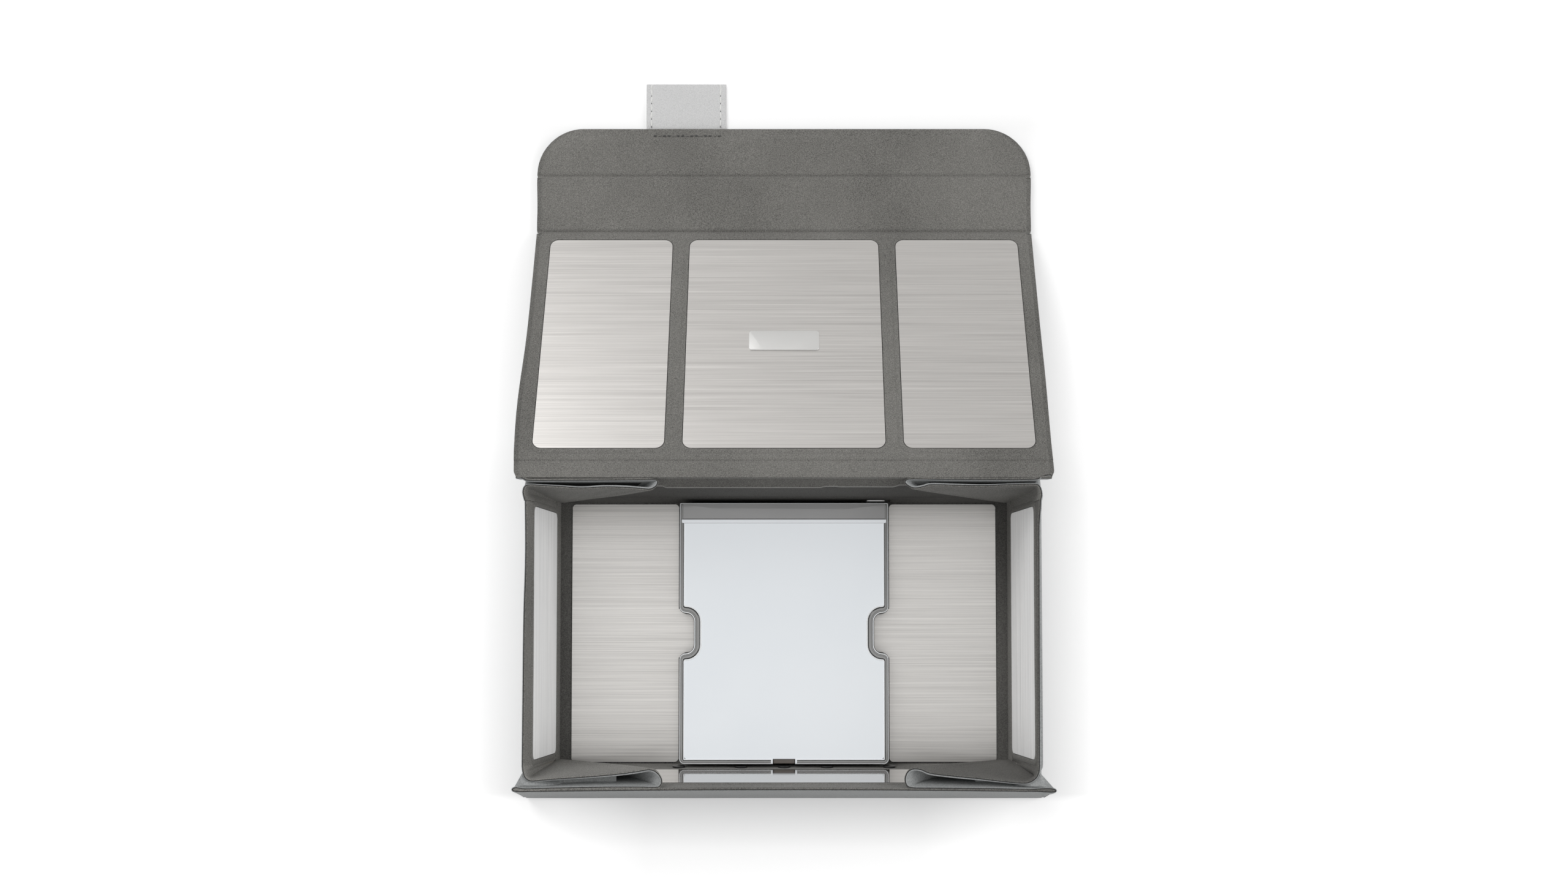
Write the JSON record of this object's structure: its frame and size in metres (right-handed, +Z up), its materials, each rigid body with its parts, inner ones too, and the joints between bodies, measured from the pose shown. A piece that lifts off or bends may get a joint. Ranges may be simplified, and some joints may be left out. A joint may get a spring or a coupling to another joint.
{
  "type": "uv sanitizer box",
  "caption": "Collapsible cloth-covered phone sanitizer box with a flat lamp unit on its floor, steel-lined folding walls and a lid with a flap and pull tab.",
  "frame": {"origin": "centre of the flat underside of the base, on the surface it stands on", "axes": "+Z up; +Y from the front wall towards the hinge and the open lid; +X to the right seen from the front"},
  "size_m": [0.262, 0.3681, 0.0703],
  "materials": {
    "cover_cloth": "light grey pebbled polyurethane-coated cloth",
    "liner_cloth": "speckled grey microfibre",
    "stiffener_board": "dense grey board",
    "mirror_steel": "thin stainless sheet, brushed along its length",
    "tab_leather": "light grey pebbled leather",
    "badge_metal": "satin",
    "black_studs": "gloss black",
    "magnet_metal": "nickel plated",
    "unit_grey": "dark grey moulded plastic",
    "unit_clear": "clear acrylic",
    "unit_panel": "pale translucent panel",
    "button_plastic": "dark brown grey",
    "socket_plastic": "black",
    "socket_shell": "nickel plated shell",
    "reflector_sheet": "polished",
    "lamp_glass": "quartz tube",
    "holder_plastic": "white",
    "circuit_board": "green laminate",
    "winding_core": "wound core"
  },
  "bodies": {
    "base": {"base_cover": "cover_cloth", "base_board": "stiffener_board", "floor_liner": "liner_cloth", "floor_plate_left": "mirror_steel", "floor_plate_right": "mirror_steel", "strip_liner": "liner_cloth", "strip_boards": "stiffener_board", "front_strip_studs": "black_studs", "left_outer_cover": "cover_cloth", "right_outer_cover": "cover_cloth", "front_outer_cover": "cover_cloth", "rear_outer_cover": "cover_cloth", "gusset_front_left": "cover_cloth", "gusset_front_right": "cover_cloth", "gusset_rear_left": "cover_cloth", "gusset_rear_right": "cover_cloth", "lamp_tray": "unit_grey", "lamp_frame": "unit_clear", "lamp_header": "unit_grey", "lamp_panel": "unit_panel", "reflectors": "reflector_sheet", "uv_tubes": "lamp_glass", "tube_holders": "holder_plastic", "driver_board": "circuit_board", "transformer": "winding_core", "charging_socket": "socket_shell", "socket_surround": "socket_plastic"},
    "left_wall": {"left_wall_liner": "liner_cloth", "left_wall_board": "stiffener_board", "left_wall_plate": "mirror_steel"},
    "right_wall": {"right_wall_liner": "liner_cloth", "right_wall_board": "stiffener_board", "right_wall_plate": "mirror_steel"},
    "front_wall": {"front_wall_liner": "liner_cloth", "front_wall_board": "stiffener_board", "front_wall_plate": "mirror_steel", "front_wall_magnets": "magnet_metal"},
    "rear_lower": {"rear_lower_liner": "liner_cloth", "rear_lower_board": "stiffener_board"},
    "rear_upper": {"rear_upper_liner": "liner_cloth", "rear_upper_board": "stiffener_board"},
    "hinge_seam": {"hinge_seam_tape": "cover_cloth"},
    "lid": {"lid_cover": "cover_cloth", "lid_board": "stiffener_board", "lid_liner": "liner_cloth", "lid_plate_left": "mirror_steel", "lid_plate_centre": "mirror_steel", "lid_plate_right": "mirror_steel", "lid_badge": "badge_metal", "lid_sensor_magnet": "magnet_metal"},
    "flap": {"flap_cover": "cover_cloth", "flap_board": "stiffener_board", "flap_liner": "liner_cloth"},
    "flap_end": {"flap_end_cover": "cover_cloth", "flap_end_board": "stiffener_board", "flap_end_liner": "liner_cloth", "flap_magnets": "magnet_metal", "pull_tab_root": "tab_leather"},
    "pull_tab": {"pull_tab": "tab_leather"},
    "start_button": {"start_button": "button_plastic"}
  },
  "joints": [
    {"name": "left_wall_fold", "type": "hinge", "parent": "base", "child": "left_wall", "pos_m": [-0.11454, 0, 0.013], "axis": [0, 1, 0], "range_deg": [0, 94], "deforming": ["left_outer_cover", "gusset_front_left", "gusset_rear_left"]},
    {"name": "right_wall_fold", "type": "hinge", "parent": "base", "child": "right_wall", "pos_m": [0.11454, 0, 0.013], "axis": [0, -1, 0], "range_deg": [0, 94], "deforming": ["right_outer_cover", "gusset_front_right", "gusset_rear_right"]},
    {"name": "front_wall_fold", "type": "hinge", "parent": "base", "child": "front_wall", "pos_m": [0, -0.06782, 0.0205], "axis": [-1, 0, 0], "range_deg": [0, 94], "deforming": ["front_outer_cover"]},
    {"name": "rear_lower_fold", "type": "hinge", "parent": "base", "child": "rear_lower", "pos_m": [0, 0.06782, 0.0205], "axis": [1, 0, 0], "range_deg": [0, 93], "deforming": ["rear_outer_cover"]},
    {"name": "rear_upper_fold", "type": "hinge", "parent": "rear_lower", "child": "rear_upper", "pos_m": [0, 0.07216, 0.04501], "axis": [1, 0, 0], "range_deg": [-177.5, 0]},
    {"name": "hinge_seam_level", "type": "hinge", "parent": "rear_upper", "child": "hinge_seam", "pos_m": [0, 0.07265, 0.0701], "axis": [1, 0, 0], "range_deg": [0, 102.3]},
    {"name": "lid_hinge", "type": "hinge", "parent": "hinge_seam", "child": "lid", "pos_m": [0, 0.07265, 0.0701], "axis": [-1, 0, 0], "range_deg": [-206.5, 0]},
    {"name": "flap_hinge", "type": "hinge", "parent": "lid", "child": "flap", "pos_m": [0, 0.20624, 0.0031], "axis": [-1, 0, 0], "range_deg": [-56, 0]},
    {"name": "flap_end_hinge", "type": "hinge", "parent": "flap", "child": "flap_end", "pos_m": [0, 0.23524, 0.0031], "axis": [1, 0, 0], "range_deg": [0, 95]},
    {"name": "pull_tab_droop", "type": "hinge", "parent": "flap_end", "child": "pull_tab", "pos_m": [0, 0.26034, 0], "axis": [1, 0, 0], "range_deg": [-60, 0]},
    {"name": "start_button_press", "type": "slide", "parent": "base", "child": "start_button", "axis": [0, 0, 1], "range_m": [-0.0008, 0], "stiffness_N_per_m": 900, "springref_m": 0.0003}
  ],
  "couplings": [
    {"joint": "rear_upper_fold", "follows": "rear_lower_fold", "ratio": -1.903},
    {"joint": "hinge_seam_level", "follows": "rear_lower_fold", "ratio": 1.095},
    {"joint": "pull_tab_droop", "follows": "flap_hinge", "ratio": 1.0709}
  ]
}
